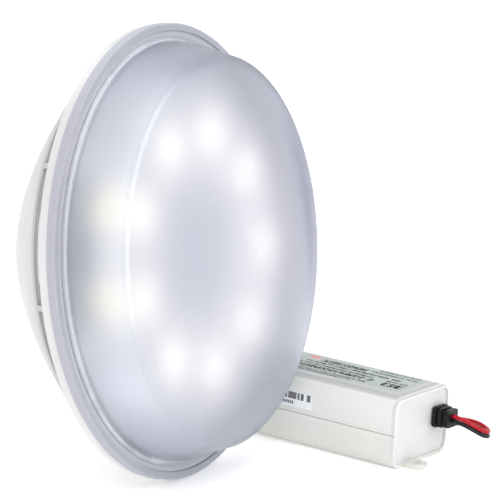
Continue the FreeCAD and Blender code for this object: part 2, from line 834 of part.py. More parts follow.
def supply_solid(name, low, high, inset):
    """A lying block with rounded long edges, from the height low to high, drawn smaller by inset."""
    inset = as_size(inset)
    low = as_size(low)
    block = box(name + "_block", inset, inset, inset, D.supply_width - inset * 2,
                D.supply_length - inset * 2, D.supply_height - inset * 2)
    soft = rounded(name + "_soft", block, D.supply_round - inset, runs_along(Vector(0, 1, 0)))
    keeper = box(name + "_keeper", -MARGIN, -MARGIN, low, D.supply_width + 2 * MARGIN,
                 D.supply_length + 2 * MARGIN, high - low)
    common = doc.addObject("Part::Common", name + "_part")
    common.Base = soft
    common.Tool = keeper
    return common


def ear(name, x, toward):
    """Mounting ear: a round-ended tab that stands out of one end at the base."""
    tip = cylinder(name + "_tip", x, ear_hole_y(toward), 0, D.ear_radius, D.ear_thick)
    low = ear_hole_y(toward) if toward < 0 else D.supply_length - OVERCUT
    tab = box(name + "_tab", x - D.ear_radius, low, 0, D.ear_radius * 2, D.ear_reach + OVERCUT, D.ear_thick)
    return fuse(name, [tip, tab])


def ear_hole_y(toward):
    end = ZERO if toward < 0 else D.supply_length
    return end + D.ear_reach * toward


def ear_bore(name, x, y):
    return cylinder(name, x, y, -OVERCUT, D.ear_hole, D.ear_thick + 2 * OVERCUT)


def end_recess(name):
    """The near end face lies a little behind a raised lip that runs round it."""
    lip = D.lip_width
    hollow = box(name + "_recess", lip, -OVERCUT, lip, D.supply_width - lip * 2, D.lip_step + OVERCUT,
                 D.supply_height - lip * 2)
    return rounded(name + "_recess_soft", hollow, D.supply_round - lip, runs_along(Vector(0, 1, 0)))


def gland_block(name, middle, low, width, length, height):
    """A block centred on one of the end walls' cable openings."""
    return box(name, middle - width / 2, low, D.gland_height - height / 2, width, length, height)


def gland_windows(half):
    """Openings in the end walls for the output grommet and the mains inlet grommet."""
    depth = MARGIN + OVERCUT
    outlet = gland_block(half + "_outlet_window", D.gland_across, -OVERCUT, D.outlet_width, depth,
                         D.outlet_height)
    inlet = gland_block(half + "_inlet_window", D.inlet_across, D.supply_length - MARGIN, D.inlet_width,
                        depth, D.inlet_height)
    return [outlet, inlet]


def supply_cases():
    """Lower and upper half of the plastic case, meeting at a fine gap halfway up."""
    wall = D.supply_wall
    seam = D.seam_height
    gap = D.seam_gap / 2
    far_across = D.supply_width - D.ear_offset
    outer_low = supply_solid("lower_outer", 0, seam - gap, 0)
    inner_low = supply_solid("lower_inner", -OVERCUT, seam + OVERCUT, wall)
    ears = [ear("near_ear", D.ear_offset, -1), ear("far_ear", far_across, 1)]
    shell_low = cut("lower_shell", fuse("lower_with_ears", [outer_low] + ears), [inner_low])
    tools = [ear_bore("near_bore", D.ear_offset, ear_hole_y(-1)),
             ear_bore("far_bore", far_across, ear_hole_y(1))]
    tools += gland_windows("lower") + [end_recess("lower")]
    keep(cut("lower_drilled", shell_low, tools), "supply_lower_case", SUPPLY)

    top = D.supply_height + MARGIN
    outer_high = supply_solid("upper_outer", seam + gap, top, 0)
    inner_high = supply_solid("upper_inner", seam - OVERCUT, top, wall)
    shell_high = cut("upper_shell", outer_high, [inner_high])
    tools = gland_windows("upper") + [end_recess("upper")]
    keep(cut("upper_drilled", shell_high, tools), "supply_upper_case", SUPPLY)


RIBS = ((9.6, 8.8), (8.8, 8.2), (8.2, 7.6))    # width and height, from the case outward
RIB_SETBACK = 0.6                              # the inner ribs sit this much nearer the case
LEAD_STACK = 2.0                               # the red lead runs this far above the black one


def output_grommet():
    """Black ribbed strain relief: three rounded plates on a stem that passes the end wall."""
    reach = D.gland_reach
    stem = gland_block("output_stem", D.gland_across, ZERO - reach, D.outlet_width, reach + D.gland_depth,
                       D.outlet_height)
    nears = (ZERO - reach / 3 + RIB_SETBACK, ZERO - reach * 2 / 3 + RIB_SETBACK, ZERO - reach)
    ribs = []
    for i, (near, (width, height)) in enumerate(zip(nears, RIBS)):
        rib = gland_block("output_rib_%d" % i, D.gland_across, near, as_size(width), D.rib_thick,
                          as_size(height))
        ribs.append(rounded("output_rib_soft_%d" % i, rib, D.rib_round, runs_along(Vector(0, 1, 0))))
    clip = gland_block("output_clip", D.gland_across, D.supply_wall, D.clip_width, D.clip_thick,
                       D.clip_height)
    whole = fuse("output_whole", [stem, clip] + ribs)
    holes = [cylinder("output_hole_%d" % side, D.gland_across, -THROUGH / 2,
                      D.gland_height + side * LEAD_STACK / 2, D.lead_diameter / 2, THROUGH, ALONG_Y)
             for side in (1, -1)]
    keep(cut("output_bored", whole, holes), "output_grommet", SUPPLY)


def input_grommet():
    """Inlet grommet of the mains lead: the lead itself is left to the installer."""
    far = D.supply_length
    inner = far - D.gland_depth
    stem_length = D.gland_depth + D.inlet_reach + OVERLAP
    stem = gland_block("input_stem", D.inlet_across, inner, D.inlet_width, stem_length, D.inlet_height)
    plates = []
    for i, low in enumerate((inner, far, far + D.inlet_reach)):
        plate = gland_block("input_plate_%d" % i, D.inlet_across, low, D.plate_width, D.plate_thick,
                            D.plate_height)
        plates.append(rounded("input_plate_soft_%d" % i, plate, D.plate_round, runs_along(Vector(0, 1, 0))))
    whole = fuse("input_whole", [stem] + plates)
    hole = cylinder("input_hole", D.inlet_across, far - THROUGH / 2, D.gland_height, D.inlet_hole, THROUGH,
                    ALONG_Y)
    keep(cut("input_bored", whole, [hole]), "input_grommet", SUPPLY)


def on_board(name, corner, size, rise=0.0):
    """A block on the supply's circuit board, or above it by rise."""
    return box(name, *corner, D.supply_board_top + rise, *size)


def supply_inside():
    """Circuit board and its main components, in the lower case."""
    top = D.supply_board_top
    side_gap = D.supply_board_side_gap
    end_gap = D.supply_board_end_gap
    board = box("supply_board_plate", side_gap, end_gap, top - D.circuit_thick, D.supply_width - side_gap * 2,
                D.supply_length - end_gap * 2, D.circuit_thick)
    keep(board, "supply_circuit_board", SUPPLY)
    core_legs = [on_board("core_near", corner=(11, 28), size=(20, 5, 14)),
                 on_board("core_far", corner=(11, 43), size=(20, 5, 14))]
    core_top = on_board("core_top", corner=(11, 28), size=(20, 20, 3.5), rise=10.5)
    keep(fuse("core_whole", core_legs + [core_top]), "transformer_core", SUPPLY)
    winding = on_board("winding_block", corner=(12.5, 33), size=(17, 10, 10.5))
    keep(rounded("winding_soft", winding, 1.5, runs_along(Vector(0, 1, 0))),
         "transformer_winding", SUPPLY)
    keep(cylinder("bulk_can", 21, 58, top, radius=6.5, height=14), "bulk_capacitor", SUPPLY)
    keep(cylinder("output_can", 12, 18, top, radius=4.5, height=13), "output_capacitor", SUPPLY)
    keep(on_board("spreader_plate", corner=(35.5, 22), size=(1.5, 30, 14)), "heat_spreader", SUPPLY)
    transistor = on_board("transistor_case", corner=(32.5, 30), size=(3, 9, 9), rise=3)
    keep(transistor, "switching_transistor", SUPPLY)
    keep(on_board("fuse_case", corner=(29, 58), size=(7, 4.5, 6)), "input_fuse", SUPPLY)


def labels():
    """Blank rating film over the top face and a small blank sticker on the side."""
    film = box("rating_film", D.label_side_gap, D.label_end_gap, D.supply_height,
               D.supply_width - D.label_side_gap * 2, D.supply_length - D.label_end_gap * 2, D.label_thick)
    keep(film, "rating_label", SUPPLY)
    sticker = box("side_film", ZERO - D.label_thick, D.sticker_start, D.sticker_low, D.label_thick,
                  D.sticker_length, D.sticker_height)
    keep(sticker, "side_sticker", SUPPLY)


# ---------------------------------------------------------------- leads

FLOOR = floor_height()
ON_FLOOR = D.lead_diameter.number / 2


def supply_point(x, y, z):
    return SUPPLY.multVec(Vector(x, y, z))


def lamp_point(x, y, z):
    return LAMP.multVec(Vector(x, y, z))


def floor_point(x, y, z):
    return Vector(x, y, FLOOR + z)


ARC_SHARE = 0.45                   # share of a run that the arc at its end may take
SPLIT_RUN = 13                     # the run in which a lead's two lengths meet
LAST_RISE = 20.0                   # straight run up to the fork's barrel


def tube_path(points):
    """Straight runs joined by tangent arcs, each as large as its two runs allow."""
    arcs = []
    for before, corner, after in zip(points, points[1:], points[2:]):
        incoming = corner - before
        outgoing = after - corner
        half_turn = incoming.getAngle(outgoing) / 2
        reach = ARC_SHARE * min(incoming.Length, outgoing.Length)
        start = corner - incoming.normalize() * reach
        end = corner + outgoing.normalize() * reach
        radius = reach / math.tan(half_turn)
        toward = ((start + end) * 0.5 - corner).normalize()
        middle = corner + toward * (radius / math.cos(half_turn) - radius)
        arcs.append((start, middle, end))
    edges = []
    here = points[0]
    for start, middle, end in arcs:
        edges.append(Part.LineSegment(here, start).toShape())
        edges.append(Part.Arc(start, middle, end).toShape())
        here = end
    edges.append(Part.LineSegment(here, points[-1]).toShape())
    return edges


def lead(name, points):
    """One insulated lead along its route, in two lengths that meet inside one straight run."""
    edges = tube_path(points)
    split = 2 * SPLIT_RUN
    run = edges[split]
    run_start = run.valueAt(run.FirstParameter)
    run_end = run.valueAt(run.LastParameter)
    middle = (run_start + run_end) * 0.5
    supply_edges = edges[:split] + [Part.LineSegment(run_start, middle).toShape()]
    lamp_edges = [Part.LineSegment(middle, run_end).toShape()] + edges[split + 1:]
    lead_length(name + "_supply_end", supply_edges, points[1] - points[0])
    lead_length(name + "_lamp_end", lamp_edges, run_end - run_start)


def lead_length(name, edges, direction):
    radius = D.lead_diameter.number / 2
    path = Part.Wire(edges)
    start = edges[0].valueAt(edges[0].FirstParameter)
    section = Part.Wire(Part.makeCircle(radius, start, direction))
    print("%s is %.1f mm long" % (name, path.Length))
    obj = doc.addObject("Part::Feature", name + "_tube")
    obj.Shape = path.makePipeShell([section], True, False)
    keep(obj, name, Placement())


def fold(across, out, high):
    """The tight fold in front of the grommet and the way back along the supply's far side."""
    return [supply_point(across + x, out + y, high + z) for x, y, z in (
        (0, 0, 0), (0.2, -4.8, -0.4), (0.9, -9.4, -2.0), (3.2, -13.2, -4.2), (7.4, -13.8, -5.4),
        (10.6, -10.6, -4.8), (11.6, -4.6, -3.6), (12.0, 3.6, -4.0), (12.4, 13.6, -7.4))]


def leads():
    across = D.gland_across.number
    out = -D.gland_reach.number
    high = D.gland_height.number + LEAD_STACK / 2
    offset = D.terminal_offset.number
    exit_z = fork_height().number
    floor = ON_FLOOR

    red = fold(across, out, high)
    red += [supply_point(*p) for p in (
        (47.2, 19, 5.4), (49.6, 36, 1.6), (50.6, 54, floor), (49, 72, floor))]
    red += [floor_point(*p) for p in (
        (105, 11, floor), (96, 30, floor), (82, 47, floor), (66, 57, floor),
        (54, 62, 2.5), (44, 63, 9), (34, 61, 19), (23, 57, 30), (14, 53.5, 39))]
    red += [lamp_point(offset, FORK_EXIT - LAST_RISE, exit_z), lamp_point(offset, FORK_EXIT, exit_z)]
    black = fold(across, out, high - LEAD_STACK)
    black += [supply_point(*p) for p in (
        (46.4, 19, 3.2), (46.9, 36, floor), (47.6, 54, floor), (46.2, 72, floor))]
    black += [floor_point(*p) for p in (
        (102, 9.5, floor), (92.5, 27.5, floor), (78, 43.5, floor), (63, 53, floor),
        (52, 57.5, 1.5), (42, 60, 6), (32, 59.5, 15), (21, 57.5, 24), (9, 55.5, 32), (-3, 53, 38))]
    black += [lamp_point(-offset, FORK_EXIT - LAST_RISE, exit_z), lamp_point(-offset, FORK_EXIT, exit_z)]
    lead("red_lead", red)
    lead("black_lead", black)


# ---------------------------------------------------------------- build, check and write

front_lens()
rear_shell()
seals()
dry_housing()
light_board()
emitters()
thermal_pad()
heat_sink()
reflector_ring()
regulator()
terminal_block()
terminal_posts()
terminal_screw(1, "red_terminal")
terminal_screw(-1, "black_terminal")
terminal_washer(1, "red_terminal")
terminal_washer(-1, "black_terminal")
fork_terminal(1, "red_fork")
fork_terminal(-1, "black_fork")
supply_cases()
output_grommet()
input_grommet()
supply_inside()
labels()
leads()

doc.recompute()
for obj in doc.Objects:
    if "Invalid" in obj.State or "Error" in obj.State:
        raise RuntimeError("%s failed: %s" % (obj.Name, obj.State))
for obj in SUBPARTS:
    if obj.Shape.isNull() or not obj.Shape.isValid() or not obj.Shape.Solids:
        raise RuntimeError("%s has no valid solid" % obj.Label)

os.makedirs("parts", exist_ok=True)
for obj in SUBPARTS:
    obj.Shape.exportStep("parts/%s.step" % obj.Label)
print("wrote", len(SUBPARTS), "sub-parts")
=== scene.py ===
import json
import math

import bpy
from mathutils import Matrix, Vector


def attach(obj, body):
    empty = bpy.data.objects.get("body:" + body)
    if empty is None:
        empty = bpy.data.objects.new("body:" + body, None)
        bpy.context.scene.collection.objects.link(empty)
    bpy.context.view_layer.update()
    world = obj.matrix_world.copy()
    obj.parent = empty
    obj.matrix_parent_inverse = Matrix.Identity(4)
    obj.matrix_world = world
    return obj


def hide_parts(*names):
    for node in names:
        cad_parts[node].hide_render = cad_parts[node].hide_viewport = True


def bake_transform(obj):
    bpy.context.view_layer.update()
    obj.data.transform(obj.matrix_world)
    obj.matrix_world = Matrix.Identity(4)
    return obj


# Looks of the underwater pool light and its power supply, in the CAD model's frame. The lamp's axis and
# the supply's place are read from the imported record's mounts. Blender's positions are in metres, and the
# coordinates that materials, route tables and small boxes use are in millimetres.

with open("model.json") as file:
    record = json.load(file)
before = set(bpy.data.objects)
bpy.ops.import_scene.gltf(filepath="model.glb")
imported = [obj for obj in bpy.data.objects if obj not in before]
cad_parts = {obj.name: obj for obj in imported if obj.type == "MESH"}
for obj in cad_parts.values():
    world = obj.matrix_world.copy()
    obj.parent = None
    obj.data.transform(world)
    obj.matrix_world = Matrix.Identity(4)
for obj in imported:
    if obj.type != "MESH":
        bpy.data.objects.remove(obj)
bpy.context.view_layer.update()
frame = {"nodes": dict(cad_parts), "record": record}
NODES = frame["nodes"]
MOUNTS = {mount["name"]: mount for mount in frame["record"]["mounts"]}
UP = Vector((0, 0, 1))
MM = 0.001


# ---------------------------------------------------------------- places

def local_frame(x_axis, y_axis, z_axis, origin):
    """The matrix that takes a point from a local frame to the model's frame."""
    turn = Matrix((x_axis, y_axis, z_axis)).transposed().to_4x4()
    return Matrix.Translation(origin) @ turn


def lamp_frame():
    """Local +Z runs out through the lens, local +Y up the rim."""
    axis = -Vector(MOUNTS["niche_rim"]["axis"])
    upward = (UP - axis * UP.dot(axis)).normalized()
    return local_frame(upward.cross(axis), upward, axis, Vector(MOUNTS["niche_rim"]["pos_m"]))


SUPPLY_SIZE = Vector((42.0, 72.0, 29.5)) * MM


def supply_frame():
    """Local x runs across the supply, y along it and z up from its base."""
    lengthwise = Vector(MOUNTS["mains_entry"]["axis"])
    across = lengthwise.cross(UP)
    middle = Vector(MOUNTS["supply_base"]["pos_m"])
    corner = middle - across * (SUPPLY_SIZE.x / 2) - lengthwise * (SUPPLY_SIZE.y / 2)
    return local_frame(across, lengthwise, UP, corner)


LAMP = lamp_frame()
SUPPLY = supply_frame()
FLOOR = SUPPLY.translation.z


def lamp_point(x, y, z):
    """A point given in the lamp's frame, in metres."""
    return LAMP @ Vector((x, y, z))


def supply_point(x, y, z):
    """A point given in the supply's frame, in metres."""
    return SUPPLY @ Vector((x, y, z))


def floor_point(x, y, z):
    """A point given by its place over the floor, in metres."""
    return Vector((x, y, FLOOR + z))


def new_object(name, vertices, faces):
    """An object with a mesh of its own, linked to the scene."""
    mesh = bpy.data.meshes.new(name)
    mesh.from_pydata(vertices, [], faces)
    made = bpy.data.objects.new(name, mesh)
    bpy.context.scene.collection.objects.link(made)
    return made


# ---------------------------------------------------------------- camera, floor and light

CAMERA_PLACE = Vector((-0.80365, -0.45947, 0.19742))
CAMERA_HEADING = math.radians(27.78)
CAMERA_DROP = math.radians(11.90)
CAMERA_ROLL = math.radians(3.59)
CAMERA_LENS = 172.8
CAMERA_SENSOR = 36.0
CAMERA_CLIP = 0.05

SKY_COLOUR = (0.97, 0.98, 1.0, 1)
# Each light's name, place, the point it is aimed at, size and power.
LIGHTS = [("key_light", (-1.3, -0.9, 1.5), (0, 0, 0), 1.4, 14),
          ("fill_light", (0.6, -1.6, 0.9), (0.03, 0, -0.02), 1.2, 6),
          ("back_light", (0.5, 1.4, 1.3), (0, 0, 0), 1.2, 8)]

FLOOR_HALF = 3.0
FLOOR_GAP = 0.0003
FLOOR_GLOW = 0.24


def view_direction(heading, drop):
    """A unit vector along a heading, tipped down by an angle."""
    level = math.cos(drop)
    return Vector((level * math.cos(heading), level * math.sin(heading), -math.sin(drop)))


def camera():
    """A long lens, a little above and to the left of the lamp."""
    ahead = view_direction(CAMERA_HEADING, CAMERA_DROP)
    turn = ahead.to_track_quat("-Z", "Y").to_matrix().to_4x4()
    data = bpy.data.cameras.new("camera")
    data.sensor_width = CAMERA_SENSOR
    data.lens = CAMERA_LENS
    data.clip_start = CAMERA_CLIP
    eye = bpy.data.objects.new("camera", data)
    eye.matrix_world = Matrix.Translation(CAMERA_PLACE) @ turn @ Matrix.Rotation(CAMERA_ROLL, 4, "Z")
    bpy.context.scene.collection.objects.link(eye)
    bpy.context.scene.camera = eye


def area_light(name, place, target, size, power):
    """A round soft light aimed at a point."""
    data = bpy.data.lights.new(name, "AREA")
    data.shape = "DISK"
    data.size = size
    data.energy = power
    lamp = bpy.data.objects.new(name, data)
    lamp.location = place
    lamp.rotation_euler = (Vector(target) - Vector(place)).to_track_quat("-Z", "Y").to_euler()
    bpy.context.scene.collection.objects.link(lamp)


def studio():
    """An even pale sky and three soft lights."""
    world = bpy.data.worlds.new("studio")
    world.use_nodes = True
    background = world.node_tree.nodes["Background"]
    background.inputs["Color"].default_value = SKY_COLOUR
    background.inputs["Strength"].default_value = 1.0
    bpy.context.scene.world = world
    bpy.context.scene.view_settings.view_transform = "Standard"
    for light in LIGHTS:
        area_light(*light)


def floor():
    """A white floor that glows a little, so that shadows on it stay faint."""
    half = FLOOR_HALF
    square = [(-half, -half), (half, -half), (half, half), (-half, half)]
    plane = new_object("floor", [(x, y, FLOOR - FLOOR_GAP) for x, y in square], [(0, 1, 2, 3)])
    look = Look("floor_white")
    tone = look.noise(look.place(), 2.0, 3.0)
    look.colour(look.drift_ramp(tone, (0.93, 0.93, 0.93), (0.96, 0.96, 0.96)))
    look.set("Roughness", 0.7)
    look.set("Emission Color", (1, 1, 1, 1))
    look.set("Emission Strength", FLOOR_GLOW)
    plane.data.materials.append(look.material)


# ---------------------------------------------------------------- shader helpers

# Most of a noise's values lie between these two.
NOISE_LOW = 0.3
NOISE_HIGH = 0.7


class Look:
    """A material and the few kinds of node that this script uses."""

    def __init__(self, name):
        self.material = bpy.data.materials.new(name)
        self.material.use_nodes = True
        self.nodes = self.material.node_tree.nodes
        self.links = self.material.node_tree.links
        self.shader = self.nodes["Principled BSDF"]

    def add(self, kind, **settings):
        """A new node of one kind, with its settings."""
        node = self.nodes.new("ShaderNode" + kind)
        for key, value in settings.items():
            setattr(node, key, value)
        return node

    def feed(self, socket, value):
        """Give a socket a number, a tuple, or another node's output."""
        if isinstance(value, bpy.types.NodeSocket):
            self.links.new(value, socket)
        else:
            socket.default_value = value

    def set(self, socket, value):
        """Give one of the shader's sockets its value."""
        self.feed(self.shader.inputs[socket], value)

    def colour(self, value):
        """Give the shader its base colour."""
        self.set("Base Color", value)

    def place(self):
        """The surface point, in metres."""
        return self.add("TexCoord").outputs["Object"]

    def math(self, operation, first, second=0.0, third=0.0):
        """One sum on up to three values."""
        node = self.add("Math", operation=operation)
        for socket, value in zip(node.inputs, (first, second, third)):
            self.feed(socket, value)
        return node.outputs[0]

    def product(self, first, second):
        """Two values multiplied."""
        return self.math("MULTIPLY", first, second)

    def vector_math(self, operation, first, second):
        """One sum on two vectors."""
        node = self.add("VectorMath", operation=operation)
        self.feed(node.inputs[0], first)
        self.feed(node.inputs[1], second)
        return node.outputs["Value" if operation == "DOT_PRODUCT" else "Vector"]

    def local(self, matrix):
        """The surface point's three coordinates in a local frame, in millimetres."""
        offset = self.vector_math("SUBTRACT", self.place(), tuple(matrix.translation))
        axes = [matrix.col[i].to_3d() / MM for i in range(3)]
        return [self.vector_math("DOT_PRODUCT", offset, tuple(axis)) for axis in axes]

    def noise(self, vector, scale, detail=2.0):
        """Cloudy noise between 0 and 1."""
        node = self.add("TexNoise")
        self.feed(node.inputs["Vector"], vector)
        node.inputs["Scale"].default_value = scale
        node.inputs["Detail"].default_value = detail
        node.inputs["Roughness"].default_value = 0.5
        return node.outputs["Fac"]

    def ramp(self, value, stops):
        """A colour read from a list of stops."""
        node = self.add("ValToRGB")
        self.feed(node.inputs["Fac"], value)
        elements = node.color_ramp.elements
        while len(elements) < len(stops):
            elements.new(1.0)
        for element, (position, tone) in zip(elements, stops):
            element.position = position
            element.color = (*tone, 1.0)
        return node.outputs["Color"]

    def drift_ramp(self, noise, dark, light):
        """A colour that drifts between two tones with a noise."""
        return self.ramp(noise, [(NOISE_LOW, dark), (NOISE_HIGH, light)])

    def span(self, value, low, high, to_low, to_high, smooth=False):
        """A value carried from one range to another and held at its ends."""
        node = self.add("MapRange", interpolation_type="SMOOTHSTEP" if smooth else "LINEAR")
        for key, number in (("From Min", low), ("From Max", high), ("To Min", to_low), ("To Max", to_high)):
            node.inputs[key].default_value = number
        self.feed(node.inputs["Value"], value)
        return node.outputs["Result"]

    def drift_span(self, noise, least, most):
        """A number that drifts between two values with a noise."""
        return self.span(noise, NOISE_LOW, NOISE_HIGH, least, most)

    def blend(self, factor, first, second):
        """Two colours mixed."""
        node = self.add("Mix", data_type="RGBA")
        self.feed(node.inputs["Factor"], factor)
        self.feed(node.inputs[6], first)
        self.feed(node.inputs[7], second)
        return node.outputs[2]

    def bump(self, height, distance, strength=1.0):
        """Relief of a given depth, in metres."""
        node = self.add("Bump")
        node.inputs["Strength"].default_value = strength
        node.inputs["Distance"].default_value = distance
        self.feed(node.inputs["Height"], height)
        self.set("Normal", node.outputs["Normal"])

    def mottled(self, tone, spread, scale):
        """A colour that drifts a little either way, as moulded and sprayed surfaces do."""
        dark = tuple(c * (1 - spread) for c in tone)
        light = tuple(min(c * (1 + spread), 1.0) for c in tone)
        return self.drift_ramp(self.noise(self.place(), scale, 4.0), dark, light)

    def uneven_gloss(self, least, most):
        """Roughness that drifts between two values."""
        self.set("Roughness", self.drift_span(self.noise(self.place(), 60.0, 3.0), least, most))


# ---------------------------------------------------------------- plain materials

def moulded(name, tone, roughness, grain=900.0, depth=0.00003, spread=0.03, patch=25.0):
    """Injection-moulded plastic: faint drift in colour, fine grain and uneven gloss."""
    look = Look(name)
    look.colour(look.mottled(tone, spread, patch))
    look.uneven_gloss(roughness * 0.88, roughness * 1.12)
    look.bump(look.noise(look.place(), grain), depth)
    return look


def black_plastic(name, roughness):
    """Deep black moulding with a soft, weak sheen."""
    look = moulded(name, (0.008, 0.008, 0.009), roughness)
    look.set("Specular IOR Level", 0.22)
    return look


def metal(name, tone, roughness):
    """Bare metal with fine drawn lines along one axis."""
    look = Look(name)
    stretched = look.vector_math("MULTIPLY", look.place(), (2500.0, 200.0, 2500.0))
    lines = look.noise(stretched, 1.0)
    look.colour(look.drift_ramp(lines, tuple(c * 0.85 for c in tone), tone))
    look.set("Metallic", 1.0)
    look.set("Roughness", look.drift_span(lines, roughness * 0.8, roughness * 1.2))
    look.bump(lines, 0.00001)
    return look


def circuit_board(name):
    """Green solder mask over a maze of copper tracks."""
    look = Look(name)
    tracks = look.add("TexBrick")
    look.feed(tracks.inputs["Vector"], look.place())
    tracks.inputs["Scale"].default_value = 160.0
    tracks.inputs["Mortar Size"].default_value = 0.03
    tracks.inputs["Color1"].default_value = (0.05, 0.25, 0.12, 1)
    tracks.inputs["Color2"].default_value = (0.04, 0.21, 0.10, 1)
    tracks.inputs["Mortar"].default_value = (0.10, 0.36, 0.18, 1)
    look.colour(tracks.outputs["Color"])
    look.set("Roughness", look.drift_span(look.noise(look.place(), 80.0), 0.3, 0.42))
    look.bump(tracks.outputs["Fac"], 0.00004)
    return look


def winding(name):
    """Varnished tape or wire wound in fine turns."""
    look = Look(name)
    turns = look.add("TexWave", bands_direction="Y")
    look.feed(turns.inputs["Vector"], look.place())
    turns.inputs["Scale"].default_value = 300.0
    look.colour(look.ramp(turns.outputs["Fac"], [(0.2, (0.62, 0.42, 0.06)), (0.8, (0.85, 0.66, 0.16))]))
    look.set("Roughness", 0.35)
    look.bump(turns.outputs["Fac"], 0.0001)
    return look


# ---------------------------------------------------------------- where a point of the lamp lies

# Sides of the lamp are angles about its axis, in degrees: 0 is the lamp's own +X and 90 its top.

def radius_of(look, x, y):
    """Distance from the lamp's axis, in mm."""
    return look.math("SQRT", look.math("ADD", look.product(x, x), look.product(y, y)))


def along(look, side):
    """Distance from the lamp's axis toward one of its sides, in mm."""
    x, y = look.local(LAMP)[:2]
    turn = math.radians(side)
    return look.math("MULTIPLY_ADD", x, math.cos(turn), look.product(y, math.sin(turn)))


def toward(look, radius, side):
    """1 on one side of the lamp, 0 a quarter turn from it and -1 opposite."""
    return look.math("DIVIDE", along(look, side), radius)


def bell(look, value, middle, width):
    """1 at the middle, falling away on both sides."""
    away = look.math("DIVIDE", look.math("SUBTRACT", value, middle), width)
    return look.math("EXPONENT", look.product(look.product(away, away), -0.5))


# ---------------------------------------------------------------- emitters behind the lens

LAVENDER = (0.85, 0.885, 1.0, 1)
WARM = (1.0, 0.985, 0.91, 1)
AMBER = (1.0, 0.97, 0.84, 1)

LED_COUNT = 9
LED_RING = 46.8
LED_START = math.radians(-5.7)
LED_STEP = math.tau / LED_COUNT
CORE_SPREAD = 6.5
HALO_SPREAD = 13.0
HALO_WARMTH = 0.7

# The painted glow is stronger on one side of the lamp. Each pair runs from one end of BOARD_SPAN to the
# other.
STRONG_SIDE = 0.0
BOARD_SPAN = (-45.0, 45.0)
CORE_STRENGTH = (0.42, 0.66)
HALO_STRENGTH = (0.28, 0.40)
WASH_EDGE = (62.0, 77.0)
WASH_STRENGTH = (0.56, 0.43)
WASH_LIFT = 0.03
WASH_LIFT_SPAN = (10.0, 45.0)


def led_glow(look, radius, angle, spread):
    """Light pooled round each of the nine emitters, as a sum over the nearest three."""
    turned = look.math("SUBTRACT", angle, LED_START)
    nearest = look.math("WRAP", turned, LED_STEP / 2, -LED_STEP / 2)
    total = 0.0
    for neighbour in (-1, 0, 1):
        away = look.math("ADD", nearest, neighbour * LED_STEP)
        across = look.product(look.math("COSINE", away), look.product(radius, 2 * LED_RING))
        square = look.math("SUBTRACT", look.math("MULTIPLY_ADD", radius, radius, LED_RING * LED_RING), across)
        fall = look.math("EXPONENT", look.product(square, -0.5 / spread ** 2))
        total = look.math("ADD", fall, total)
    return total


def lit_interior(name):
    """White parts behind the lens, with painted light: an even wash with soft pools of light at the emitters.
    """
    look = Look(name)
    x, y = look.local(LAMP)[:2]
    radius = radius_of(look, x, y)
    angle = look.math("ARCTAN2", y, x)
    core = led_glow(look, radius, angle, CORE_SPREAD)
    halo = led_glow(look, radius, angle, HALO_SPREAD)
    side = along(look, STRONG_SIDE)
    wash = look.math("ADD", look.span(radius, *WASH_EDGE, *WASH_STRENGTH, smooth=True),
                     look.span(side, *WASH_LIFT_SPAN, 0.0, WASH_LIFT, smooth=True))
    even = look.math("MULTIPLY_ADD", halo, look.span(side, *BOARD_SPAN, *HALO_STRENGTH), wash)
    strength = look.math("MULTIPLY_ADD", core, look.span(side, *BOARD_SPAN, *CORE_STRENGTH), even)
    warmth = look.math("MINIMUM", look.math("ADD", core, look.product(halo, HALO_WARMTH)), 1.0)
    look.colour((0.2, 0.2, 0.21, 1))
    look.set("Emission Color", look.blend(warmth, LAVENDER, WARM))
    look.set("Emission Strength", strength)
    look.set("Roughness", 0.9)
    look.set("Specular IOR Level", 0.0)
    return look


# ---------------------------------------------------------------- frosted lens

# Heights run along the lamp's axis from the niche_rim mount, and radii from that axis, in mm.
WALL_FOOT = 5.3
FOOT_RADIUS = 82.75
WALL_RADIUS = 78.3
CREASE_HEIGHT = 27.1
CREASE_TOP_RADIUS = 75.1

NEAR_SIDE = 172.0
FAR_SIDE = 8.0
LIT_SIDE = 155.0
SHADED_SIDE = 75.0
RIM_TOP_SIDE = 80.0

# Where each effect sets in. FAR_SPAN is in mm toward the far side, and the other spans that say how far
# round the lens a point is are values of toward().
# Painted shade: the dome and the side wall are painted darker toward the far side, over FAR_SPAN.
FAR_SPAN = (50.0, 71.0)
NEAR_SPAN = (0.2, 0.85)
NEAR_FOOT_SPAN = (0.90, 0.985)
NEAR_FOOT_HEIGHTS = (10.0, 22.0)
NEAR_FOOT_SHADE = 0.45
RIM_TOP_SPAN = (0.4, 0.92)
RIM_TOP_SHARE = 0.8
WALL_GLOW_SPAN = (0.0, 0.85)
WALL_GLOW = (0.03, 0.08)

CREASE_SHADE_SPAN = (0.74, 0.92)
CREASE_SHADE = 0.45
CREASE_SHADE_RADIUS = CREASE_TOP_RADIUS + 0.6
CREASE_SHADE_WIDTH = 1.6
CREASE_LINE_SPAN = (0.72, 0.92)
CREASE_LINE_HEIGHTS = (20.0, 26.0)
CREASE_LINE_WIDTH = 0.6
CREASE_LINE_GLOW = 0.17
FOOT_LINE_SPAN = (0.1, 0.9)
FOOT_LINE_HEIGHTS = (WALL_FOOT + 1.5, WALL_FOOT + 0.5)
FOOT_LINE_WIDTH = 0.28
FOOT_LINE_GLOW = (0.03, 0.32)

# Pools of light that three emitters throw on the side wall, the third of them weaker.
POOL_SIDES = (160.0, 184.5)
WEAK_POOL_SIDE = 212.0
WEAK_POOL = 0.6
POOL_WIDTH = 8.5
POOL_HEIGHT = 17.5
POOL_SPREAD = 7.0
POOL_TINT = 0.8
POOL_GLOW = 0.11
